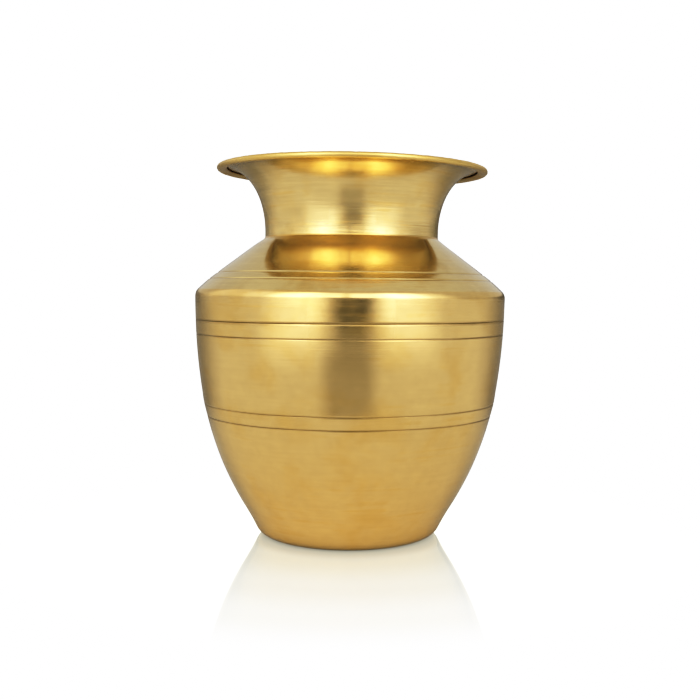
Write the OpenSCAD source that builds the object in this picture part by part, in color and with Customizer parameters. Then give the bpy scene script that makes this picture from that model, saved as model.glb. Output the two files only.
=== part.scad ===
// Brass kalash: a round-bellied water pot with a narrow neck and a wide flared rim.
// It is spun from three brass sheets, bowl, shoulder and neck, and brazed together.
// Z is the axis of the pot, and the origin is the centre of the flat that it rests on.

/* [Overall] */
// Height from the resting face to the top of the rim
pot_h = 181.8; // [179:0.2:190]
// Diameter of the belly at its widest
belly_d = 153; // [145:0.5:162]
// Outer diameter of the rim
rim_d = 133.2; // [124:0.2:144]
// Outer diameter of the neck at its narrowest
neck_d = 85.6; // [78:0.2:94]
// Diameter of the flat that the pot rests on
base_d = 78.4; // [70:0.2:84]

/* [Sheet] */
// Thickness of the bowl and of the shoulder
wall = 0.9; // [0.7:0.05:1.2]
// Thickness of the neck, which is stretched thinner to make the flare
neck_wall = 0.7; // [0.5:0.05:0.9]

/* [Bowl] */
// Radius of the rounded heel between the flat base and the side
heel_r = 7.5; // [5:0.5:9]
// Lean of the side from upright where it leaves the heel, in degrees
heel_lean = 24; // [18:1:30]
// Share of the side that keeps the lean of the heel
heel_pull = 0.17; // [0.1:0.01:0.25]
// Share of the side that keeps the upright of the belly
belly_pull = 0.64; // [0.5:0.01:0.7]
// Height of the widest line of the belly
belly_h = 118.5; // [117:0.5:120]

/* [Shoulder] */
// Height of the line where the skirt of the shoulder ends over the bowl
joint_h = 106.9; // [103:0.1:108]
// Depth of the bowl's edge inside the skirt
lap = 6; // [4:0.5:7]
// Radius of the rounded edge between the belly and the shoulder
edge_r = 5; // [3:0.5:6]
// Height of the shoulder where it meets the neck
collar_h = 146.9; // [144:0.1:147.5]
// Height of the shoulder's dome above a straight cone
shoulder_bow = 0.3; // [0:0.1:1]

/* [Neck] */
// Depth of the neck's straight end inside the collar of the shoulder
spigot = 4; // [3:0.5:6]
// Height at which the neck starts to flare
flare_h = 149; // [148:0.1:152]
// Fullness of the flare's curve, where 2 is an ellipse
flare_power = 2.1; // [1.9:0.05:2.4]

/* [Rim] */
// Diameter of the stiffening wire inside the rolled rim
wire_d = 1.4; // [1:0.1:2]
// Width of the fold under the rim, from the outside of its bead
hem_w = 4.9; // [4:0.1:7]
// Level width of the flare just inside the bead
lip_flat = 1.2; // [0.6:0.1:2]

/* [Turned lines] */
// Heights of the lines that are turned round the bowl
bowl_lines = [60.3, 66.3, 100.1]; // [30:0.1:101]
// Places of the lines round the shoulder, as shares of the way from its edge to the neck
shoulder_lines = [0.17, 0.295]; // [0.1:0.01:0.8]
// Width of a turned line
line_w = 0.9; // [0.5:0.1:1.2]
// Depth of a turned line
line_depth = 0.3; // [0.1:0.05:0.4]

/* [Braze] */
// Width of the braze fillet on each side of the corner round the neck
fillet_leg = 1.6; // [1:0.1:2]
// Height of the braze fillet above the bowl's edge, inside the lap
lap_fillet_h = 1.2; // [0.8:0.1:1.6]

/* [Hidden] */
$fn = 180;

BRASS = "#C9A55A";
WORN_BRASS = "#B8923F";
BRAZE = "#D9B45A";
STEEL = "#8C8C88";

belly_r = belly_d / 2;
neck_r = neck_d / 2;
base_r = base_d / 2;
wire_r = wire_d / 2;
bead_r = wire_r + neck_wall;
bead_x = rim_d / 2 - bead_r;
bead_h = pot_h - bead_r;

// Depth of the hollow in a fillet's face, as a share of the way to its corner
fillet_hollow = 0.25;

curve_steps = 36;
heel_steps = 10;
edge_steps = 8;
dome_steps = 12;

// Point at share t along a curve that leaves a towards b and reaches d from c
function bezier(a, b, c, d, t) =
    pow(1 - t, 3) * a + 3 * pow(1 - t, 2) * t * b + 3 * (1 - t) * t * t * c + pow(t, 3) * d;

// Points on a round arc from one angle to another
function arc(centre, r, from, to, steps) =
    [for (i = [0:steps]) let (a = from + (to - from) * i / steps) centre + r * [cos(a), sin(a)]];

// Points from a to b that rise by bow, square to the line, at the middle
function bowed(a, b, bow, steps) =
    let (along = (b - a) / norm(b - a), square = [along.y, -along.x])
    [for (i = [0:steps]) let (t = i / steps) a + t * (b - a) + 4 * bow * t * (1 - t) * square];

// The path moved by d to its left, which is the inside of the pot
function inside(path, d) =
    let (last = len(path) - 1)
    [for (i = [0:last])
        let (step = path[min(i + 1, last)] - path[max(i - 1, 0)])
        path[i] + d * [-step.y, step.x] / norm(step)];

function reversed(path) = [for (i = [len(path) - 1:-1:0]) path[i]];

// Side of the pot, from the end of the heel to the widest line
heel_centre = [base_r, heel_r];
side_foot = heel_centre + heel_r * [cos(heel_lean), -sin(heel_lean)];
side_top = [belly_r, belly_h];
side_l = norm(side_top - side_foot);
side = [for (i = [0:curve_steps])
    bezier(side_foot,
        side_foot + heel_pull * side_l * [sin(heel_lean), cos(heel_lean)],
        side_top - [0, belly_pull * side_l],
        side_top,
        i / curve_steps)];

function side_r(h) = lookup(h, [for (p = side) [p.y, p.x]]);

// Face where the skirt of the shoulder lies over the bowl's edge
joint_r = side_r(joint_h);
lap_r = joint_r - wall;
lap_top = joint_h + lap;

bowl_skin = concat(
    [[0, 0]],
    arc(heel_centre, heel_r, -90, -heel_lean, heel_steps),
    [for (p = side) if (p.y > side_foot.y && p.y < joint_h - 2 * wall) p]);

// Cone of the shoulder, from the end of the rounded edge to the collar. The edge's last
// angle makes it run on into the cone without a corner.
edge_centre = [belly_r - edge_r, belly_h];
collar = [neck_r, collar_h];
to_collar = collar - edge_centre;
edge_turn = atan2(to_collar.y, to_collar.x) - acos(edge_r / norm(to_collar));
dome_foot = edge_centre + edge_r * [cos(edge_turn), sin(edge_turn)];
dome = bowed(dome_foot, collar, shoulder_bow, dome_steps);

// Point on the shoulder at share t of the way from its edge to the neck
function dome_at(t) = [
    lookup(t * dome_steps, [for (i = [0:dome_steps]) [i, dome[i].x]]),
    lookup(t * dome_steps, [for (i = [0:dome_steps]) [i, dome[i].y]])];

shoulder_skin = concat(
    [for (p = side) if (p.y > lap_top + 2 * lap_fillet_h && p.y < belly_h) p],
    arc(edge_centre, edge_r, 0, edge_turn, edge_steps),
    [for (i = [1:dome_steps]) dome[i]]);
collar_step = dome[dome_steps] - dome[dome_steps - 1];
collar_slope = collar_step / norm(collar_step);

// Outer face of the neck: a straight end, a flare like the quarter of an ellipse, and a level lip
flare_w = bead_x - lip_flat - neck_r;
flare_rise = bead_h + wire_r - flare_h;
neck_skin = concat(
    [[neck_r, collar_h - spigot]],
    [for (i = [0:curve_steps])
        let (a = 90 * i / curve_steps)
        [neck_r + flare_w * (1 - pow(cos(a), 2 / flare_power)),
            flare_h + flare_rise * pow(sin(a), 2 / flare_power)]],
    [[bead_x, bead_h + wire_r]]);

// Round-bottomed line of the stated width and depth, turned into the skin at p
module turned_line(p, square) {
    cutter_r = (pow(line_w / 2, 2) + pow(line_depth, 2)) / (2 * line_depth);
    translate(p + (cutter_r - line_depth) * square)
        circle(r = cutter_r);
}

// Direction that points straight out of the side at height h
function side_out(h) =
    let (rise = [side_r(h + line_w) - side_r(h - line_w), 2 * line_w])
    [rise.y, -rise.x] / norm(rise);

module bowl_section() {
    difference() {
        polygon(concat(
            bowl_skin,
            [[joint_r, joint_h], [lap_r, joint_h], [lap_r, lap_top], [lap_r - wall, lap_top]],
            [[lap_r - wall, joint_h]],
            reversed(inside(bowl_skin, wall))));
        for (h = concat(bowl_lines, [joint_h]))
            turned_line([side_r(h), h], side_out(h));
    }
}

module shoulder_section() {
    skirt_top = lap_top + 2 * lap_fillet_h;
    inner = inside(shoulder_skin, wall);
    cone_out = [collar_slope.y, -collar_slope.x];
    difference() {
        polygon(concat(
            [[lap_r, joint_h], [joint_r, joint_h]],
            shoulder_skin,
            [[neck_r, collar_h - wall / -collar_slope.x]],
            [for (i = [len(inner) - 2:-1:0]) inner[i]],
            [[lap_r, skirt_top]]));
        turned_line([joint_r, joint_h], side_out(joint_h));
        for (t = shoulder_lines)
            turned_line(dome_at(t), cone_out);
    }
}

module bead_section() {
    translate([bead_x, bead_h])
        intersection() {
            difference() {
                circle(r = bead_r);
                circle(r = wire_r);
            }
            translate([0, -bead_r])
                square([bead_r, 2 * bead_r]);
        }
}

// Free edge of the sheet, folded back under the flare and left a little open
module hem_section() {
    hem_x = rim_d / 2 - hem_w + neck_wall / 2;
    hem_mid = bead_h - wire_r - neck_wall / 2;
    translate([hem_x, hem_mid])
        circle(r = neck_wall / 2);
    translate([hem_x, hem_mid - neck_wall / 2])
        square([bead_x - hem_x, neck_wall]);
}

module neck_section() {
    polygon(concat(neck_skin, reversed(inside(neck_skin, neck_wall))));
    bead_section();
    hem_section();
}

// Triangle that fills the corner between two legs, with its face hollowed to a shallow V
module fillet_section(corner, leg_a, leg_b) {
    face_mid = corner + (leg_a + leg_b) / 2;
    polygon([corner, corner + leg_a, face_mid + fillet_hollow * (corner - face_mid), corner + leg_b]);
}

module bowl() {
    color(BRASS)
        rotate_extrude()
            bowl_section();
}

module shoulder() {
    color(BRASS)
        rotate_extrude()
            shoulder_section();
}

module neck() {
    color(WORN_BRASS)
        rotate_extrude()
            neck_section();
}

module rim_wire() {
    color(STEEL)
        rotate_extrude()
            translate([bead_x, bead_h])
                circle(r = wire_r);
}

module neck_braze() {
    color(BRAZE)
        rotate_extrude()
            fillet_section(collar, fillet_leg * [0, 1], fillet_leg * -collar_slope);
}

module lap_braze() {
    color(BRAZE)
        rotate_extrude()
            fillet_section([lap_r, lap_top], [-wall, 0], [0, lap_fillet_h]);
}

bowl();
shoulder();
neck();
rim_wire();
neck_braze();
lap_braze();
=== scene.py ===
import math

import bpy
import numpy as np
from mathutils import Matrix, Vector, noise


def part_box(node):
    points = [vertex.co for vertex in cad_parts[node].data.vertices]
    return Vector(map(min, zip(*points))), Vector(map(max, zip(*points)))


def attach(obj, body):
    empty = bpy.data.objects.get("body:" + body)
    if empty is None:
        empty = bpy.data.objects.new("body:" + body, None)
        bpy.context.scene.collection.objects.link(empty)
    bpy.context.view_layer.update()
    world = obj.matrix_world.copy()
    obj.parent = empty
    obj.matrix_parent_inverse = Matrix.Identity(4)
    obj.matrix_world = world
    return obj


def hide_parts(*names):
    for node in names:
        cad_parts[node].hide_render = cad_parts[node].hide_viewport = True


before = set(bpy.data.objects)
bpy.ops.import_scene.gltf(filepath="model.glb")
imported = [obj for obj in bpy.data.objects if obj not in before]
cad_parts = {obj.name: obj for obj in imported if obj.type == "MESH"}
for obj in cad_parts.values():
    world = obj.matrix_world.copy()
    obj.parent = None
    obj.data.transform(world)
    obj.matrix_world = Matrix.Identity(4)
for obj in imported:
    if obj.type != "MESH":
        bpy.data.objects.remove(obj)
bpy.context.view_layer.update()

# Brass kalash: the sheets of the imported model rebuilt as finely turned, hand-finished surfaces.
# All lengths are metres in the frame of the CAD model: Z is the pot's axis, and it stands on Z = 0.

MM = 0.001


# ---------------------------------------------------------------- sizes, from the frame

def ring_radius(node, low, high):
    """The largest radius of a CAD node's points between two heights."""
    points = [v.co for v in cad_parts[node].data.vertices]
    return max(math.hypot(p.x, p.y) for p in points if low <= p.z <= high)


NECK_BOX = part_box("neck")
SHOULDER_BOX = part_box("shoulder")
WIRE_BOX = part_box("rim_wire")
BOWL_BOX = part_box("bowl")

POT_H = NECK_BOX[1].z
NECK_FOOT = NECK_BOX[0].z
NECK_R = ring_radius("neck", NECK_FOOT, NECK_FOOT + 0.5 * MM)
COLLAR_H = SHOULDER_BOX[1].z
JOINT_H = SHOULDER_BOX[0].z
BELLY_R = SHOULDER_BOX[1].x
BOWL_TOP = BOWL_BOX[1].z
BASE_R = ring_radius("bowl", -0.01 * MM, 0.01 * MM)
LAP_R = ring_radius("bowl", BOWL_TOP - 0.5 * MM, BOWL_TOP)
WIRE_R = (WIRE_BOX[1].z - WIRE_BOX[0].z) / 2
BEAD_H = (WIRE_BOX[1].z + WIRE_BOX[0].z) / 2
BEAD_X = WIRE_BOX[1].x - WIRE_R
NECK_WALL = POT_H - BEAD_H - WIRE_R

# The design's own shape numbers, which the frame's boxes don't give
WALL = 0.9 * MM
HEEL_R = 7.5 * MM
HEEL_LEAN = math.radians(24)
HEEL_PULL = 0.17
BELLY_PULL = 0.64
BELLY_H = 118.5 * MM
EDGE_R = 5 * MM
SHOULDER_BOW = 0.3 * MM
FLARE_H = 149 * MM
FLARE_POWER = 2.1
LIP_FLAT = 1.2 * MM
HEM_W = 4.9 * MM
FILLET_LEG = 1.6 * MM
LAP_FILLET_H = 1.2 * MM

# Turned lines of the bowl: (height, width, depth)
BOWL_LINES = [
    (60.3 * MM, 0.8 * MM, 0.12 * MM),
    (66.3 * MM, 0.8 * MM, 0.12 * MM),
    (100.1 * MM, 0.8 * MM, 0.08 * MM),
]
# Turned lines of the shoulder: (share of the way from its edge to the neck, width, depth)
SHOULDER_LINES = [(0.17, 0.9 * MM, 0.27 * MM), (0.295, 0.9 * MM, 0.27 * MM)]
# How far a line's dirt and painted shade spread from its middle, and their share in the shoulder's lines
LINE_DIRT_AND_SHADE = 0.34 * MM
SHOULDER_DIRT_AND_SHADE = 0.45

# Steps of the outlines, and of the turn round the axis
BASE_STEPS = 11
HEEL_STEPS = 14
SIDE_STEPS = 399
EDGE_STEPS = 14
DOME_STEPS = 59
TUBE_STEPS = 7
FLARE_STEPS = 89
BEAD_STEPS = 24
HEM_STEPS = 6
ROUND_STEPS = 8
WIRE_STEPS = 16
FILLET_STEPS = 8
SEGMENTS = 288


# ---------------------------------------------------------------- outlines

def unit(angle):
    """The direction of an angle, as (radius, height)."""
    return np.array([math.cos(angle), math.sin(angle)])


def shares(steps):
    """Even shares of a way, from 0 to 1."""
    return np.linspace(0, 1, steps + 1)


def bezier(a, b, c, d, t):
    """Point at share t along a curve that leaves a towards b and reaches d from c."""
    return (1 - t) ** 3 * a + 3 * (1 - t) ** 2 * t * b + 3 * (1 - t) * t * t * c + t ** 3 * d


def arc(centre, r, start, end, steps):
    """Points on a round arc from one angle to another."""
    return [np.array(centre) + r * unit(a) for a in np.linspace(start, end, steps + 1)]


def distances(path):
    """Distance along a path to each of its points."""
    return np.concatenate([[0], np.cumsum(np.linalg.norm(np.diff(path, axis=0), axis=1))])


def along_at(path, h):
    """Distance along a rising path to height h."""
    return float(np.interp(h, np.array(path)[:, 1], distances(path)))


def outward(path):
    """Direction square to a path at each of its points, to the outside of the pot."""
    step = np.gradient(path, axis=0)
    return np.stack([step[:, 1], -step[:, 0]], axis=1) / np.linalg.norm(step, axis=1)[:, None]


def inside(path, d):
    """The path moved by d towards the inside of the pot."""
    path = np.array(path)
    return path - d * outward(path)


# The close points of a turned line: how many, and how many of its widths they reach to each side
LINE_POINTS = 15
LINE_REACH = 1.6
# Steepness of a line's sides
LINE_STEEP = 2.4


def with_lines(path, lines):
    """The path with a soft-edged groove, and close points, at each (distance along it, width, depth)."""
    path = np.array(path)
    along = distances(path)
    keep = [s for s in along if all(abs(s - at) > LINE_REACH * w for at, w, d in lines)]
    close = [at + side * LINE_REACH * w for at, w, d in lines for side in np.linspace(-1, 1, LINE_POINTS)]
    stops = np.array(sorted(keep + close))
    points = np.stack([np.interp(stops, along, path[:, i]) for i in (0, 1)], axis=1)
    cut = sum(d * np.exp(-(LINE_STEEP * (stops - at) / w) ** 2) for at, w, d in lines)
    return points - outward(points) * cut[:, None]


HEEL_CENTRE = np.array([BASE_R, HEEL_R])
SIDE_FOOT = HEEL_CENTRE + HEEL_R * unit(-HEEL_LEAN)
SIDE_TOP = np.array([BELLY_R, BELLY_H])
SIDE_L = np.linalg.norm(SIDE_TOP - SIDE_FOOT)
LEAN_UP = np.array([math.sin(HEEL_LEAN), math.cos(HEEL_LEAN)])
SIDE_PULLS = (SIDE_FOOT + HEEL_PULL * SIDE_L * LEAN_UP, SIDE_TOP - np.array([0, BELLY_PULL * SIDE_L]))
SIDE = np.array([bezier(SIDE_FOOT, *SIDE_PULLS, SIDE_TOP, t) for t in shares(SIDE_STEPS)])

# The side isn't quite that curve: (height, how far the wall stands outside the curve), in millimetres
BANDS = [
    (0, 0), (8, 0.08), (18, 0.26), (28, 0.1), (44, -0.08), (60.3, 0.02),
    (66.3, 0.18), (72, -0.08), (80, -0.16), (92, -0.14), (107, -0.05), (118.5, 0),
]
BAND_HEIGHTS, BAND_OFFSETS = np.array(BANDS).T * MM


def side_r(h):
    """Radius of the pot's side at height h."""
    return float(np.interp(h, SIDE[:, 1], SIDE[:, 0]) + np.interp(h, BAND_HEIGHTS, BAND_OFFSETS))


# ---------------------------------------------------------------- hand finish

# The rim and the shoulder lie low, and lower still towards +X
RIM_SAG = math.radians(0.4)
RIM_LOW = 0.15 * MM
SHOULDER_SAG = math.radians(0.4)
SHOULDER_LOW = 0.3 * MM
SAG_HEIGHTS = (BELLY_H - 6 * MM, BELLY_H + 2 * MM)
# The whole pot leans towards +X, and the neck stands off its centre
LEAN = math.radians(0.38)
NECK_OFF = 0.4 * MM
OFF_HEIGHTS = (COLLAR_H - 4 * MM, COLLAR_H)
# Waves of the wall: (scale round the pot, scale up it, shift of the noise, height of the wave)
WALL_WAVES = [(1.7, 28, 0, 0.11 * MM), (4.1, 60, 9, 0.035 * MM)]
# Height above the base over which the waves grow to their full size
FIRM_BASE = 20 * MM
# Dents of the rim: (scale round the pot, place in the noise, depth), how far in from the bead they reach,
# and the height above the collar over which they grow
RIM_DENTS = [(24, 5, 0.1 * MM), (60, 8, 0.06 * MM)]
DENTS_IN = 2.5 * MM
DENTS_RISE = 20 * MM
# Radius below which a point counts as lying on the axis
AXIS_R = 1e-6


def ease(value, start, end):
    """How far a value has come from start to end, as a smooth step from 0 to 1."""
    t = min(1, max(0, (value - start) / (end - start)))
    return t * t * (3 - 2 * t)


def wave(c, s, around, level, shift=0):
    """Smooth noise at an angle round the pot, given by its cosine and sine."""
    return noise.noise(Vector((c * around + shift, s * around, level)))


def hand_finish(p):
    """Where a point of the ideal pot lies on the real one: not quite round, upright or level."""
    x, y, z = p
    r = math.hypot(x, y)
    if r > AXIS_R:
        c, s = x / r, y / r
        swell = sum(high * wave(c, s, around, z * up, shift) for around, up, shift, high in WALL_WAVES)
        swell *= min(1, z / FIRM_BASE)
        x += c * swell
        y += s * swell
        dents = sum(deep * wave(c, s, around, level) for around, level, deep in RIM_DENTS)
        z += dents * ease(r, BEAD_X - DENTS_IN, BEAD_X) * ease(z, COLLAR_H, COLLAR_H + DENTS_RISE)
    sag = (math.tan(RIM_SAG) * x + RIM_LOW) * ease(z, COLLAR_H, POT_H)
    sag += (math.tan(SHOULDER_SAG) * x + SHOULDER_LOW) * ease(z, *SAG_HEIGHTS)
    aside = math.tan(LEAN) * z + NECK_OFF * ease(z, *OFF_HEIGHTS)
    return x + aside, y, z - sag


# ---------------------------------------------------------------- lathe

def turned_rings(outline):
    """The points of an outline turned round Z, and the numbers of the points in each ring."""
    verts, rings = [], []
    for r, z in outline:
        if r < AXIS_R:
            rings.append([len(verts)] * SEGMENTS)
            verts.append((0, 0, z))
            continue
        rings.append(list(range(len(verts), len(verts) + SEGMENTS)))
        for k in range(SEGMENTS):
            a = 2 * math.pi * k / SEGMENTS
            verts.append((r * math.cos(a), r * math.sin(a), z))
    return verts, rings


def dirt_and_shade_at(p, dirt_and_shade_places):
    """Share of dirt and painted shade at a point of an outline, from the (middle, spread, share) of each
    place.
    """
    dirts = [share * math.exp(-(math.dist(p, at) / spread) ** 2) for at, spread, share in dirt_and_shade_places]
    return max(dirts, default=0)


def lathe(name, outline, materials, splits=(), dirt_and_shade_places=()):
    """A closed outline of (radius, height) points turned round Z and hand-finished.

    splits are the numbers of the points where the next material starts.
    """
    outline = np.array(outline)
    verts, rings = turned_rings(outline)
    faces, slots = [], []
    for i, low in enumerate(rings):
        high = rings[(i + 1) % len(rings)]
        for k in range(SEGMENTS):
            m = (k + 1) % SEGMENTS
            face = list(dict.fromkeys([low[k], low[m], high[m], high[k]]))
            if len(face) > 2:
                faces.append(face)
                slots.append(sum(i >= split for split in splits))
    mesh = bpy.data.meshes.new(name)
    mesh.from_pydata([hand_finish(v) for v in verts], [], faces)
    for material in materials:
        mesh.materials.append(material)
    mesh.polygons.foreach_set("material_index", slots)
    mesh.polygons.foreach_set("use_smooth", [True] * len(faces))
    mesh.validate()
    mesh.update()
    dirt_and_shade = []
    for p, ring in zip(outline, rings):
        dirt_and_shade += [dirt_and_shade_at(p, dirt_and_shade_places)] * len(set(ring))
    mesh.attributes.new("dirt_and_shade", "FLOAT", "POINT").data.foreach_set("value", dirt_and_shade)
    piece = bpy.data.objects.new(name, mesh)
    bpy.context.scene.collection.objects.link(piece)
    return piece


def finish_piece(piece, slot, *nodes):
    """A piece that belongs to the pot's only body and takes the place of CAD nodes."""
    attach(piece, "root")
    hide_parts(*nodes)


# ---------------------------------------------------------------- materials

class Nodes:
    """Short calls that build a node tree."""

    def __init__(self, tree):
        self.tree = tree

    def add(self, kind, **settings):
        node = self.tree.nodes.new(kind)
        for key, value in settings.items():
            setattr(node, key, value)
        return node

    def join(self, source, target):
        self.tree.links.new(source, target)

    def put(self, socket, value):
        """A number, a colour or another node's output into a socket."""
        if isinstance(value, bpy.types.NodeSocket):
            self.join(value, socket)
        else:
            socket.default_value = value

    def math(self, operation, a, b=0.0):
        node = self.add("ShaderNodeMath", operation=operation)
        self.put(node.inputs[0], a)
        self.put(node.inputs[1], b)
        return node.outputs[0]

    def plus(self, first, *others):
        for other in others:
            first = self.math("ADD", first, other)
        return first

    def times(self, first, *others):
        for other in others:
            first = self.math("MULTIPLY", first, other)
        return first

    def varied(self, value, share):
        """share times how far a noise value is from its middle."""
        return self.times(self.math("SUBTRACT", value, 0.5), share)

    def radius(self, x, y):
        return self.math("SQRT", self.plus(self.times(x, x), self.times(y, y)))

    def remap(self, value, low, high, to_low=0.0, to_high=1.0, steps="SMOOTHSTEP"):
        node = self.add("ShaderNodeMapRange", interpolation_type=steps)
        for i, v in enumerate((value, low, high, to_low, to_high)):
            self.put(node.inputs[i], v)
        return node.outputs[0]

    def split(self, vector):
        node = self.add("ShaderNodeSeparateXYZ")
        self.join(vector, node.inputs[0])
        return node.outputs

    def combine(self, *parts):
        node = self.add("ShaderNodeCombineXYZ")
        for i, part in enumerate(parts):
            self.put(node.inputs[i], part)
        return node.outputs[0]

    def mix(self, factor, a, b, blend="MIX"):
        node = self.add("ShaderNodeMix", data_type="RGBA", blend_type=blend)
        self.put(node.inputs["Factor"], factor)
        self.put(node.inputs[6], a)
        self.put(node.inputs[7], b)
        return node.outputs[2]

    def mix_values(self, factor, a, b):
        node = self.add("ShaderNodeMix", data_type="FLOAT")
        self.put(node.inputs[0], factor)
        self.put(node.inputs[2], a)
        self.put(node.inputs[3], b)
        return node.outputs[0]

    def mix_shaders(self, factor, a, b):
        node = self.add("ShaderNodeMixShader")
        for i, source in enumerate((factor, a, b)):
            self.join(source, node.inputs[i])
        return node.outputs[0]

    def ramp(self, value, stops):
        """A smooth curve through each (place from 0 to 1, level) of stops."""
        node = self.add("ShaderNodeValToRGB")
        node.color_ramp.interpolation = "EASE"
        while len(node.color_ramp.elements) < len(stops):
            node.color_ramp.elements.new(0.5)
        for element, (at, level) in zip(node.color_ramp.elements, stops):
            element.position = at
            element.color = (level, level, level, 1)
        self.join(value, node.inputs[0])
        return node.outputs[0]

    def noise(self, vector, scale, detail, w=None, distortion=0.0):
        node = self.add("ShaderNodeTexNoise", noise_dimensions="3D" if w is None else "4D")
        self.join(vector, node.inputs["Vector"])
        if w is not None:
            self.join(w, node.inputs["W"])
        node.inputs["Scale"].default_value = scale
        node.inputs["Detail"].default_value = detail
        node.inputs["Distortion"].default_value = distortion
        return node.outputs["Fac"]


def rgb(r, g, b):
    return (r, g, b, 1.0)


BRASS = rgb(0.72, 0.51, 0.21)
GOLDEN = rgb(0.64, 0.39, 0.09)
# Dark colour of the dirt and the painted shade in the turned lines, the joints and under the rim
SOOT_AND_SHADE = rgb(0.10, 0.06, 0.02)

# Turning marks: (spacing across them, how much they change on the way round, detail)
FINE_MARKS = (0.35 * MM, 2.5, 2.0)
MIDDLE_MARKS = (0.9 * MM, 2.0, 2.0)
BROAD_MARKS = (2.2 * MM, 1.2, 3.0)
# Depth of the marks, and the shares of the fine, middle and broad marks in it
MARK_DEPTH = 0.03 * MM
MARK_SHARES = (0.2, 0.3, 0.5)
# Patches of tarnish and specks in the polish: (scale per metre, detail), and how far the patches are warped
PATCHES = (50.0, 4.0)
PATCH_WARP = 0.25
SPECKS = (210.0, 3.0)
# Noise values between which a patch fades in, and a smear, which lies where a broad mark meets a patch
PATCH_EDGE = (0.45, 0.72)
SMEAR_MARK = (0.52, 0.66)
SMEAR_PATCH = (0.42, 0.56)
# The dirt and painted shade are broken up in places: (noise values, share of them at each)
DIRT_AND_SHADE_BREAKS = (0.35, 0.6, 0.55, 0.95)
# How much the marks, between two noise values, and the specks change the shade
SHADE_SPAN = (0.3, 0.7)
MARK_SHADE = 0.04
SPECK_SHADE = 0.16
# The low part of the pot is painted a little more golden, a tint that stands in for light: by how much, and
# between which heights it fades
PAINTED_LOW_WARMTH = 0.15
WARM_BELOW = 20 * MM
COOL_ABOVE = 100 * MM
# What the marks, the tarnish, the specks and the dirt and painted shade add to the roughness
ROUGH_MARKS = 0.05
ROUGH_TARNISH = 0.10
ROUGH_SPECKS = 0.08
ROUGH_DIRT_AND_SHADE = 0.3
# Highlights are drawn out across the turning marks
ANISOTROPY = 0.4
QUARTER_TURN = 0.25
COAT_ROUGHNESS = 0.3


def turned_metal(name, clean, stained, stain, roughness, marks=1.0, coat=0.0, metal=0.9, edge=rgb(1, 1, 1)):
    """Lathe-turned metal: rings round the axis, soft patches of tarnish, and dirt and painted shade in dark
    colour.

    stain is the share of tarnish in the patches, marks is the strength of the turning marks, and edge tints
    what the metal reflects at a low angle.
    """
    material = bpy.data.materials.new(name)
    material.use_nodes = True
    n = Nodes(material.node_tree)
    shader = material.node_tree.nodes["Principled BSDF"]

    place = n.add("ShaderNodeTexCoord").outputs["Object"]
    x, y, z = n.split(place)
    r = n.radius(x, y)
    safe_r = n.math("MAXIMUM", r, 0.1 * MM)
    c = n.math("DIVIDE", x, safe_r)
    s = n.math("DIVIDE", y, safe_r)

    def rings(spacing, arcs, detail):
        """Noise that changes quickly across the turning marks and slowly along them."""
        at = n.combine(n.times(r, 1 / spacing), n.times(z, 1 / spacing), n.times(c, arcs))
        return n.noise(at, 1.0, detail, w=n.times(s, arcs))

    fine = rings(*FINE_MARKS)
    middle = rings(*MIDDLE_MARKS)
    broad = rings(*BROAD_MARKS)
    patches = n.noise(place, *PATCHES, distortion=PATCH_WARP)
    specks = n.noise(place, *SPECKS)
    smears = n.times(n.remap(broad, *SMEAR_MARK), n.remap(patches, *SMEAR_PATCH))
    tarnish = n.times(n.math("MAXIMUM", n.remap(patches, *PATCH_EDGE), smears), stain)
    # Dirt and painted shade from the mesh: in the turned lines and joints, and painted shade under the rim
    dirt_and_shade = n.add("ShaderNodeAttribute", attribute_name="dirt_and_shade").outputs["Fac"]
    dirt_and_shade = n.times(dirt_and_shade, n.remap(broad, *DIRT_AND_SHADE_BREAKS))

    # Painted light: more golden towards the bottom
    colour = n.mix(n.remap(z, WARM_BELOW, COOL_ABOVE, PAINTED_LOW_WARMTH, 0.0), clean, stained)
    colour = n.mix(tarnish, colour, stained)
    shade = n.plus(n.times(broad, 0.5), n.times(middle, 0.5))
    shade = n.remap(shade, *SHADE_SPAN, 1 - MARK_SHADE * marks, 1 + MARK_SHADE * marks, "LINEAR")
    shade = n.plus(shade, n.varied(specks, SPECK_SHADE))
    colour = n.mix(1.0, colour, n.combine(shade, shade, shade), "MULTIPLY")
    # Dirt and painted shade darken the colour here
    n.join(n.mix(dirt_and_shade, colour, SOOT_AND_SHADE), shader.inputs["Base Color"])

    rough = n.plus(roughness, n.varied(broad, ROUGH_MARKS), n.times(tarnish, ROUGH_TARNISH))
    rough = n.plus(rough, n.varied(specks, ROUGH_SPECKS), n.times(dirt_and_shade, ROUGH_DIRT_AND_SHADE))
    n.join(rough, shader.inputs["Roughness"])

    relief = n.add("ShaderNodeBump")
    relief.inputs["Strength"].default_value = 1.0
    relief.inputs["Distance"].default_value = MARK_DEPTH * marks
    heights = [n.times(mark, share) for mark, share in zip((fine, middle, broad), MARK_SHARES)]
    n.join(n.plus(*heights), relief.inputs["Height"])
    n.join(relief.outputs[0], shader.inputs["Normal"])

    tangent = n.add("ShaderNodeTangent", direction_type="RADIAL", axis="Z")
    n.join(tangent.outputs[0], shader.inputs["Tangent"])
    shader.inputs["Anisotropic"].default_value = ANISOTROPY
    shader.inputs["Anisotropic Rotation"].default_value = QUARTER_TURN
    shader.inputs["Metallic"].default_value = metal
    shader.inputs["Specular Tint"].default_value = edge
    shader.inputs["Coat Weight"].default_value = coat
    shader.inputs["Coat Roughness"].default_value = COAT_ROUGHNESS
    return material


outside_brass = turned_metal(
    "polished_brass", BRASS, GOLDEN,
    stain=0.42, roughness=0.12, marks=1.0, coat=0.1, metal=0.94, edge=rgb(1, 0.96, 0.85))
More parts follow.
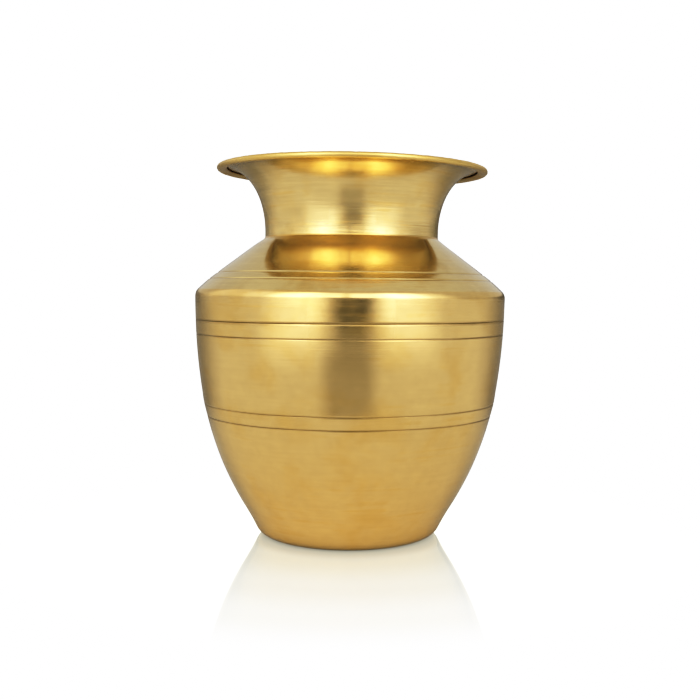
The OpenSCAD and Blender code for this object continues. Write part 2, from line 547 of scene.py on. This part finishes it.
# The shoulder's cone is a yellower, lighter brass than its edge: a painted tint for the neck's reflection in
# it
shoulder_brass_painted_tint = turned_metal(
    "shoulder_brass_painted_tint", rgb(0.72, 0.55, 0.24), rgb(0.60, 0.40, 0.12),
    stain=0.6, roughness=0.12, marks=1.6, coat=0.3, metal=0.94)
# The neck's brass is less saturated than the body's: a painted tint that stands in for its whiter highlights
neck_brass_painted_tint = turned_metal(
    "neck_brass_painted_tint", rgb(0.705, 0.525, 0.23), GOLDEN,
    stain=0.45, roughness=0.15, marks=3.0, coat=0.2, metal=0.84, edge=rgb(1, 0.97, 0.88))
inside_brass = turned_metal(
    "spun_brass_inside", rgb(0.62, 0.42, 0.15), rgb(0.40, 0.24, 0.08),
    stain=0.8, roughness=0.42, marks=2.0)
hem_brass = turned_metal(
    "rolled_rim_brass", rgb(0.66, 0.46, 0.16), GOLDEN,
    stain=0.5, roughness=0.34, marks=3.0)
braze_brass = turned_metal(
    "braze", rgb(0.58, 0.39, 0.14), GOLDEN,
    stain=0.5, roughness=0.22, marks=1.5)
wire_steel = turned_metal(
    "drawn_wire", rgb(0.42, 0.41, 0.39), rgb(0.25, 0.20, 0.16),
    stain=0.6, roughness=0.35, marks=0.6)


# ---------------------------------------------------------------- bowl

# Height between the points of the bowl's side, and from the last of them to the joint
RISE = 1.0 * MM
LAST_RISE = 0.3 * MM
# Width and height of the broken corners at the joint, on the bowl and on the shoulder's skirt
BOWL_CORNER = 0.05 * MM
SKIRT_CORNER = (0.15 * MM, 0.05 * MM)


def bowl_outline():
    """Outline of the bowl, and the number of the point where its inside starts.

    The inside has every second point, and stops short of the step to the lap.
    """
    skin = [np.array([share * BASE_R, 0.0]) for share in shares(BASE_STEPS)[:-1]]
    skin += arc(HEEL_CENTRE, HEEL_R, -math.pi / 2, -HEEL_LEAN, HEEL_STEPS)
    heights = np.arange(SIDE_FOOT[1] + RISE, JOINT_H - 2 * LAST_RISE, RISE)
    skin += [np.array([side_r(h), h]) for h in heights]
    skin += [np.array([side_r(JOINT_H), JOINT_H - LAST_RISE])]
    skin = with_lines(skin, [(along_at(skin, h), w, d) for h, w, d in BOWL_LINES])
    lap = [
        [side_r(JOINT_H) - BOWL_CORNER, JOINT_H - BOWL_CORNER],
        [LAP_R, JOINT_H],
        [LAP_R, (JOINT_H + BOWL_TOP) / 2],
    ]
    lap_top = [[LAP_R, BOWL_TOP], [LAP_R - WALL, BOWL_TOP], [LAP_R - WALL, JOINT_H]]
    inner = inside(skin[:-4:2], WALL)
    inner[0] = (0, WALL)
    return list(skin) + lap + lap_top + list(inner[::-1]), len(skin) + len(lap)


outline, inside_from = bowl_outline()
# Dirt and painted shade in the bowl's turned lines and in the joint under the shoulder's skirt
bowl_dirt_and_shade = [((side_r(h), h), LINE_DIRT_AND_SHADE, 1) for h, w, d in BOWL_LINES]
bowl_dirt_and_shade += [((side_r(JOINT_H) - SKIRT_CORNER[0], JOINT_H), LINE_DIRT_AND_SHADE, 1)]
bowl = lathe("bowl_sheet", outline, [outside_brass, inside_brass], [inside_from], bowl_dirt_and_shade)
finish_piece(bowl, "polished_brass", "bowl")


# ---------------------------------------------------------------- shoulder

# The rounded edge lies a little lower and turns a little less than in the CAD model
EDGE_LOW = 0.22 * MM
EDGE_SOFT = math.radians(4)
EDGE_CENTRE = np.array([BELLY_R - EDGE_R, BELLY_H - EDGE_LOW])

COLLAR = np.array([NECK_R, COLLAR_H])
TO_COLLAR = COLLAR - EDGE_CENTRE
TANGENT_TURN = math.atan2(TO_COLLAR[1], TO_COLLAR[0]) - math.acos(EDGE_R / np.linalg.norm(TO_COLLAR))
EDGE_TURN = TANGENT_TURN - EDGE_SOFT
DOME_FOOT = EDGE_CENTRE + EDGE_R * unit(EDGE_TURN)

# The shoulder stands a little proud at its turned lines, so that the band below them is steeper:
# (share of the way from its edge to the neck, how far it stands out there), in millimetres
PROUD = [(0, 0), (0.17, 0.42), (0.295, 0.27), (0.6, 0.05), (1, 0)]
PROUD_SHARES, PROUD_OFFSETS = zip(*PROUD)


def dome(t):
    """Point on the shoulder at share t of the way from its edge to the neck."""
    span = COLLAR - DOME_FOOT
    out = np.array([span[1], -span[0]]) / np.linalg.norm(span)
    bow = 4 * SHOULDER_BOW * t * (1 - t)
    return DOME_FOOT + t * span + (bow + np.interp(t, PROUD_SHARES, PROUD_OFFSETS) * MM) * out


# Height between the points of the shoulder's skirt
SKIRT_RISE = 0.8 * MM
# Height of the collar's bore, which the neck's straight end goes through
BORE_H = 1.2 * WALL
# How near the points of the inside come to the collar's bore
BORE_NEAR = 0.5 * MM
# How far below the start of the cone its material starts
CONE_EARLY = 0.5 * MM


def shoulder_outline():
    """Outline of the shoulder, and the numbers of the points where its cone and its inside start."""
    heights = np.arange(JOINT_H + LAST_RISE, BELLY_H - EDGE_LOW, SKIRT_RISE)
    skirt = [np.array([side_r(h), h]) for h in heights]
    edge = arc(EDGE_CENTRE, EDGE_R, 0, EDGE_TURN, EDGE_STEPS)
    cone = [dome(t) for t in shares(DOME_STEPS)[1:]]
    skin = skirt + edge + cone
    skin = with_lines(skin, [(along_at(skin, dome(t)[1]), w, d) for t, w, d in SHOULDER_LINES])
    skirt_top = BOWL_TOP + 2 * LAP_FILLET_H
    inner = [p for p in inside(skin[::2], WALL) if p[1] > skirt_top and p[0] > NECK_R + BORE_NEAR]
    foot = [[LAP_R, JOINT_H], [side_r(JOINT_H) - SKIRT_CORNER[0], JOINT_H + SKIRT_CORNER[1]]]
    bore = [[NECK_R, COLLAR_H - BORE_H]]
    cone_from = len(foot) + sum(p[1] < DOME_FOOT[1] - CONE_EARLY for p in skin)
    out = foot + list(skin) + bore + inner[::-1] + [[LAP_R, skirt_top]]
    return out, [cone_from, len(foot) + len(skin)]


outline, splits = shoulder_outline()
# Dirt and painted shade in the shoulder's turned lines and in the joint with the bowl
shoulder_dirt_and_shade = [(dome(t), LINE_DIRT_AND_SHADE, SHOULDER_DIRT_AND_SHADE) for t, w, d in SHOULDER_LINES]
shoulder_dirt_and_shade += [((side_r(JOINT_H), JOINT_H), LINE_DIRT_AND_SHADE, 1)]
shoulder = lathe(
    "shoulder_sheet", outline, [outside_brass, shoulder_brass_painted_tint, inside_brass], splits, shoulder_dirt_and_shade)
finish_piece(shoulder, "polished_brass", "shoulder")


# ---------------------------------------------------------------- neck, rim and wire

# How far the fold's free edge rises towards the flare, and the fullness of that curve
HEM_UP = 0.9 * MM
HEM_CURVE = 1.5
# Painted shade under the rim, carried by the dirt-and-shade attribute: (middle, spread, share)
UNDER_RIM_SHADE = ((BEAD_X - 6 * MM, BEAD_H), 4 * MM, 0.4)


def flare_outline():
    """Outer face of the flare, like the quarter of an ellipse."""
    wide = BEAD_X - LIP_FLAT - NECK_R
    high = BEAD_H + WIRE_R - FLARE_H
    points = []
    for a in math.pi / 2 * shares(FLARE_STEPS):
        out = 1 - max(0.0, math.cos(a)) ** (2 / FLARE_POWER)
        up = math.sin(a) ** (2 / FLARE_POWER)
        points.append(np.array([NECK_R + wide * out, FLARE_H + high * up]))
    return points


def neck_outline():
    """Outline of the neck, and the numbers of the points where its fold and its inside start."""
    tube = [np.array([NECK_R, h]) for h in np.linspace(NECK_FOOT, FLARE_H, TUBE_STEPS + 1)[:-1]]
    skin = tube + flare_outline() + [np.array([BEAD_X, BEAD_H + WIRE_R])]
    bead = [BEAD_X, BEAD_H]
    under = arc(bead, WIRE_R, math.pi / 2, -math.pi / 2, BEAD_STEPS // 2)[1:]
    end_x = BEAD_X + WIRE_R + NECK_WALL - HEM_W + NECK_WALL / 2
    ways = shares(HEM_STEPS)
    leg_h = BEAD_H - WIRE_R + HEM_UP * ways ** HEM_CURVE
    leg = np.stack([BEAD_X + ways * (end_x - BEAD_X), leg_h], axis=1)
    end = [end_x, leg_h[-1] - NECK_WALL / 2]
    leg_end = arc(end, NECK_WALL / 2, math.pi / 2, 3 * math.pi / 2, ROUND_STEPS)[1:]
    leg_low = leg[-2::-1] - np.array([0, NECK_WALL])
    over = arc(bead, WIRE_R + NECK_WALL, -math.pi / 2, math.pi / 2, BEAD_STEPS)[1:]
    inner = inside(skin, NECK_WALL)[::-1][1:]
    fold = under + list(leg[1:]) + leg_end + list(leg_low) + over
    fold_from = len(skin) + len(under)
    return skin + fold + list(inner), [fold_from, len(skin) + len(fold)]


outline, splits = neck_outline()
# The neck gets painted shade under its rim
neck = lathe("neck_sheet", outline, [neck_brass_painted_tint, hem_brass, inside_brass], splits, [UNDER_RIM_SHADE])
finish_piece(neck, "polished_brass", "neck")

outline = arc([BEAD_X, BEAD_H], WIRE_R, 0, 2 * math.pi, WIRE_STEPS)[:-1]
wire = lathe("rim_wire_ring", outline, [wire_steel])
finish_piece(wire, "steel_wire", "rim_wire")


# ---------------------------------------------------------------- braze

# The last of the shoulder's slope, and its direction
COLLAR_SPAN = dome(1) - dome(0.96)
COLLAR_STEP = COLLAR_SPAN / np.linalg.norm(COLLAR_SPAN)
# Depth of the hollow in the fillet's face, as a share of the way to its corner
FILLET_HOLLOW = 0.7
# How far the fillet's corner is sunk into the sheets
FILLET_SUNK = 0.02 * MM


def fillet_outline():
    """The corner between shoulder and neck, with a hollow face."""
    top = COLLAR + np.array([0, FILLET_LEG])
    foot = COLLAR - FILLET_LEG * COLLAR_STEP
    to_corner = FILLET_HOLLOW * (COLLAR - (top + foot) / 2)
    face = [foot + t * (top - foot) + 4 * t * (1 - t) * to_corner for t in shares(FILLET_STEPS)]
    return [COLLAR - np.array([FILLET_SUNK, FILLET_SUNK])] + face


fillet = lathe("neck_braze_ring", fillet_outline(), [braze_brass])
finish_piece(fillet, "braze", "neck_braze")

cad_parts["lap_braze"].data.materials.clear()
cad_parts["lap_braze"].data.materials.append(braze_brass)


# ---------------------------------------------------------------- studio: camera

CAMERA_X = 0.88 * MM
CAMERA_BACK = 510 * MM
EYE_H = 122 * MM
PITCH = math.radians(3.43)
ROLL = math.radians(0.25)
LENS_MM = 52.46
CLIP = (0.01, 50)


def place_camera():
    """The photograph's point of view: level with the belly's edge and looking slightly down."""
    camera = bpy.data.objects.new("camera", bpy.data.cameras.new("camera"))
    camera.data.lens = LENS_MM
    camera.data.clip_start, camera.data.clip_end = CLIP
    look = Matrix.Rotation(math.pi / 2 - PITCH, 4, "X") @ Matrix.Rotation(ROLL, 4, "Z")
    camera.matrix_world = Matrix.Translation((CAMERA_X, -CAMERA_BACK, EYE_H)) @ look
    bpy.context.scene.collection.objects.link(camera)
    bpy.context.scene.camera = camera


place_camera()


# ---------------------------------------------------------------- studio: table

# Contrast of the picture, as (scene value, shown value): deeper shadows and softer highlights
TONES = [
    (0, 0), (0.05, 0.02), (0.1, 0.055), (0.2, 0.145), (0.35, 0.315), (0.5, 0.495),
    (0.7, 0.70), (0.85, 0.82), (1.0, 0.905), (1.15, 0.965), (1.3, 1.0),
]
# Scene value that is shown as plain white
WHITE = TONES[-1][0]

TABLE_HALF = 6.0
# The table lies this far below the pot, so that their faces don't meet
TABLE_GAP = 0.05 * MM
# Brightness of the table, how much it loses in the shadow and behind the pot, and what it gains far in front
TABLE_WHITE = 0.685
TABLE_SHADOW = 0.45
TABLE_BEHIND = 0.75
TABLE_FAR = 0.6
# Where the camera's shadow fades: by steps aside per step to the front, and by distance to the front
SHADOW_SIDES = (0.15, 0.42)
SHADOW_FRONT = (150 * MM, 240 * MM)
# The dim part behind the pot starts a little in front of the axis. It fades in by direction, and it is less
# dim near the pot: (distances from the axis, share of the dimming at each)
BEHIND_SHIFT = 40 * MM
BEHIND_SIDES = (0.2, 0.9)
BEHIND_AWAY = (180 * MM, 400 * MM, 0.42, 0.88)
# The far front of the table is lit: where it starts, by direction and by distance
FAR_SIDES = (0.3, 0.75)
FAR_AWAY = (300 * MM, 800 * MM)
# Painted contact shadow under the heel: (distances from the axis, share of the brightness at each)
CONTACT_SHADOW_AWAY = (41 * MM, 54 * MM, 0.62, 1.0)
# How much of the pot the table mirrors: (distance from the pot's axis, share)
TABLE_SHEEN = [
    (38 * MM, 0.8), (46 * MM, 0.64), (58 * MM, 0.53), (100 * MM, 0.36), (139 * MM, 0.2), (175 * MM, 0.0),
]
SHEEN_END = TABLE_SHEEN[-1][0]
# The mirror image is a little yellow, and the table round it has a painted yellow glow, a painted reflection
# of the brass
MIRROR_TINT = rgb(1, 1, 0.86)
TABLE_PAINTED_CREAM = 0.2
# Brightness of the tent in the table's mirror, which leaves the table white beside the pot's image
MIRRORED_WHITE = 1.85


def table_tone(n, x, y, away):
    """Brightness of the table where the pot reflects it, and where it lights the pot."""
    front = n.times(y, -1.0)
    aside = n.math("DIVIDE", n.math("ABSOLUTE", x), n.math("MAXIMUM", front, 10 * MM))
    shadow = n.times(n.remap(aside, *SHADOW_SIDES, TABLE_SHADOW, 0.0), n.remap(front, *SHADOW_FRONT))
    back = n.math("DIVIDE", n.plus(y, BEHIND_SHIFT), away)
    behind = n.times(n.remap(back, *BEHIND_SIDES, 0.0, TABLE_BEHIND), n.remap(away, *BEHIND_AWAY))
    dim = n.math("MAXIMUM", shadow, behind)
    ahead = n.remap(n.math("DIVIDE", front, away), *FAR_SIDES)
    far = n.times(ahead, n.remap(away, *FAR_AWAY, 0.0, TABLE_FAR))
    # The painted contact shadow darkens the table near the heel
    return n.times(n.math("SUBTRACT", 1.0, dim), n.plus(far, TABLE_WHITE), n.remap(away, *CONTACT_SHADOW_AWAY))


def table_picture(n, away):
    """The table as the camera sees it: plain white, with the pot's mirror image lost in it further out, and
    a painted yellow glow round that image.
    """
    stops = [(at / SHEEN_END, share) for at, share in TABLE_SHEEN]
    sheen = n.ramp(n.math("DIVIDE", away, SHEEN_END), stops)
    white = n.add("ShaderNodeEmission")
    white.inputs["Strength"].default_value = WHITE
    # Painted reflection: the white turns yellow where the table mirrors the pot
    painted_cream = n.math("SUBTRACT", 1.0, n.times(sheen, TABLE_PAINTED_CREAM))
    n.join(n.combine(1.0, 1.0, painted_cream), white.inputs["Color"])
    mirror = n.add("ShaderNodeBsdfGlossy")
    mirror.inputs["Color"].default_value = MIRROR_TINT
    mirror.inputs["Roughness"].default_value = 0.0
    return n.mix_shaders(sheen, white.outputs[0], mirror.outputs[0])


def flat_piece(name, corners):
    """A flat four-cornered piece of the studio."""
    mesh = bpy.data.meshes.new(name)
    mesh.from_pydata(corners, [], [(0, 1, 2, 3)])
    piece = bpy.data.objects.new(name, mesh)
    bpy.context.scene.collection.objects.link(piece)
    return piece


def emptied_material(name):
    """A new material that has no shader yet, a way to build its nodes, and the input for its surface."""
    material = bpy.data.materials.new(name)
    material.use_nodes = True
    tree = material.node_tree
    tree.nodes.remove(tree.nodes["Principled BSDF"])
    return material, Nodes(tree), tree.nodes["Material Output"].inputs["Surface"]


def studio_table():
    """A glossy white table, with the camera's shadow in front of the pot, and dim behind the pot."""
    half = TABLE_HALF
    floor = flat_piece("floor", [(-half, -half, 0), (half, -half, 0), (half, half, 0), (-half, half, 0)])
    material, n, surface = emptied_material("white_table")
    x, y, z = n.split(n.add("ShaderNodeTexCoord").outputs["Object"])
    away = n.radius(x, y)
    tone = table_tone(n, x, y, away)
    lit = n.add("ShaderNodeBsdfDiffuse")
    n.join(n.combine(tone, tone, tone), lit.inputs["Color"])
    seen = n.add("ShaderNodeLightPath").outputs["Is Camera Ray"]
    n.join(n.mix_shaders(seen, lit.outputs[0], table_picture(n, away)), surface)
    floor.data.materials.append(material)
    floor.location.z = -TABLE_GAP


studio_table()


# ---------------------------------------------------------------- studio: front of the camera

CARD_X = 14 * MM
CARD_FRONT = 500 * MM
CARD_HALF = 270 * MM
CARD_H = 140 * MM
# Half width of the dark middle: (low, high, half width at each)
MIDDLE_HALF = (60 * MM, 100 * MM, 30 * MM, 50 * MM)
# Glow of the middle, of the outer sides and of the top: (low, high, glow at each)
MIDDLE_GLOW = (0 * MM, 100 * MM, 0.42, 0.05)
SIDE_GLOW = (20 * MM, CARD_H, 1.3, 2.5)
TOP_GLOW = (112 * MM, CARD_H, 0.0, 0.8)


def camera_card():
    """The dark front of the camera, seen only as a reflection, with its edges lost in the light."""
    half = CARD_HALF
    card = flat_piece("camera_front", [(-half, 0, 0), (half, 0, 0), (half, 0, CARD_H), (-half, 0, CARD_H)])
    material, n, surface = emptied_material("camera_front")
    x, y, z = n.split(n.add("ShaderNodeTexCoord").outputs["Object"])
    middle_half = n.remap(z, *MIDDLE_HALF)
    middle = n.remap(z, *MIDDLE_GLOW)
    side = n.remap(z, *SIDE_GLOW)
    glow = n.remap(n.math("ABSOLUTE", x), middle_half, half, middle, side)
    shine = n.add("ShaderNodeEmission")
    n.join(n.math("MAXIMUM", glow, n.remap(z, *TOP_GLOW)), shine.inputs["Strength"])
    n.join(shine.outputs[0], surface)
    card.data.materials.append(material)
    card.location = (CARD_X, -CARD_FRONT, 0)
    card.visible_camera = False
    card.visible_shadow = False


camera_card()


# ---------------------------------------------------------------- studio: tent

# Radiance of the tent round the pot: (angle from the camera's side, radiance)
TENT = [
    (0, 0.8), (14, 0.9), (22, 1.6), (36, 2.5), (48, 1.75), (68, 1.05),
    (97, 0.76), (118, 0.8), (133, 0.5), (148, 0.24), (180, 0.18),
]
TENT_PEAK = max(radiance for angle, radiance in TENT)
# The tent grows brighter upwards: (lowest angle, highest angle, share at each)
TENT_RISE = (-3.0, 12.0, 0.85, 1.3)
# Radiance straight above, and the angles between which it takes over
OVERHEAD = 0.68
OVERHEAD_ANGLES = (36.0, 60.0)
# Light above the camera, the angles up between which it comes, and the half turns between which it goes
ABOVE_CAMERA = 2.4
ABOVE_ANGLES = (2.0, 11.0)
ABOVE_ROUND = (0.1, 0.2)
# What the lamps beside the camera add, by the same angles and half turns
LAMPS = 0.5
LAMP_ANGLES = (-1.0, 5.0)
LAMP_ROUND = (0.27, 0.37)
# A narrow dark post above the camera: its share of the light, its turn to the left, its soft half width
POST_DARK = 0.58
POST_TURN = 0.05
POST_HALF = (0.015, 0.08)
# The wall behind the pot, by the angles up and the half turns between which it comes
BACKDROP = 0.6
BACKDROP_ANGLES = (3.0, 10.0)
BACKDROP_ROUND = (0.5, 0.7)
# The right side is dimmer: the turn where that starts, the turn where it is full, and the share of light
# that is left there, each for a low and a high angle
RIGHT_ANGLES = (-1.0, 4.0)
RIGHT_STARTS = (1.5, 1.1)
RIGHT_ENDS = (1.85, 1.5)
RIGHT_SHARES = (0.9, 0.6)
# It is dimmer again towards the back, between these turns
RIGHT_BACK = 0.85
RIGHT_BACK_TURN = (2.1, 2.5)


def right_side(n, turn, height):
    """Share of the light that is left on the right side, from 1 at the front."""
    start = n.remap(height, *RIGHT_ANGLES, *RIGHT_STARTS)
    end = n.remap(height, *RIGHT_ANGLES, *RIGHT_ENDS)
    share = n.remap(height, *RIGHT_ANGLES, *RIGHT_SHARES)
    back = n.remap(turn, *RIGHT_BACK_TURN, 1.0, RIGHT_BACK)
    return n.times(n.remap(turn, start, end, 1.0, share), back)


def tent_light(n):
    """Radiance of the tent in each direction, by its height in degrees and its turn from the camera."""
    x, y, z = n.split(n.add("ShaderNodeTexCoord").outputs["Generated"])
    turn = n.math("ARCTAN2", x, n.times(y, -1.0))
    half_turns = n.math("DIVIDE", n.math("ABSOLUTE", turn), math.pi)
    height = n.times(n.math("ARCSINE", z), math.degrees(1))

    ring = n.ramp(half_turns, [(angle / 180, radiance / TENT_PEAK) for angle, radiance in TENT])
    ring = n.times(ring, TENT_PEAK, right_side(n, turn, height), n.remap(height, *TENT_RISE))
    lamps = n.times(n.remap(height, *LAMP_ANGLES, 0.0, LAMPS), n.remap(half_turns, *LAMP_ROUND, 1.0, 0.0))
    ring = n.times(ring, n.plus(lamps, 1.0))
    above = n.remap(height, *ABOVE_ANGLES, 0.0, ABOVE_CAMERA)
    ring = n.math("MAXIMUM", ring, n.times(above, n.remap(half_turns, *ABOVE_ROUND, 1.0, 0.0)))
    off_post = n.math("ABSOLUTE", n.plus(turn, POST_TURN))
    ring = n.times(ring, n.remap(off_post, *POST_HALF, POST_DARK, 1.0))
    backdrop = n.remap(height, *BACKDROP_ANGLES, 0.0, BACKDROP)
    ring = n.math("MAXIMUM", ring, n.times(n.remap(half_turns, *BACKDROP_ROUND), backdrop))
    return n.mix_values(n.remap(height, *OVERHEAD_ANGLES), ring, OVERHEAD)


def studio_light():
    """A white tent, brighter to the left and right of the camera and dim behind the pot.

    The camera and the table's mirror see it as plain white.
    """
    world = bpy.data.worlds.new("studio")
    world.use_nodes = True
    n = Nodes(world.node_tree)
    path = n.add("ShaderNodeLightPath").outputs
    plain = n.math("MAXIMUM", path["Is Camera Ray"], path["Is Singular Ray"])
    white = n.remap(path["Is Singular Ray"], 0.0, 1.0, WHITE, MIRRORED_WHITE)
    background = world.node_tree.nodes["Background"]
    background.inputs["Color"].default_value = rgb(1, 1, 1)
    n.join(n.mix_values(plain, tent_light(n), white), background.inputs["Strength"])
    bpy.context.scene.world = world


studio_light()


def set_tones():
    """The picture's contrast curve, through the points of TONES."""
    view = bpy.context.scene.view_settings
    view.view_transform = "Standard"
    view.look = "None"
    view.use_curve_mapping = True
    mapping = view.curve_mapping
    mapping.clip_max_x = mapping.clip_max_y = WHITE
    mapping.use_clip = True
    curve = mapping.curves[3]
    curve.points[0].location = TONES[0]
    curve.points[1].location = TONES[-1]
    for x, y in TONES[1:-1]:
        curve.points.new(x, y)
    mapping.update()


set_tones()
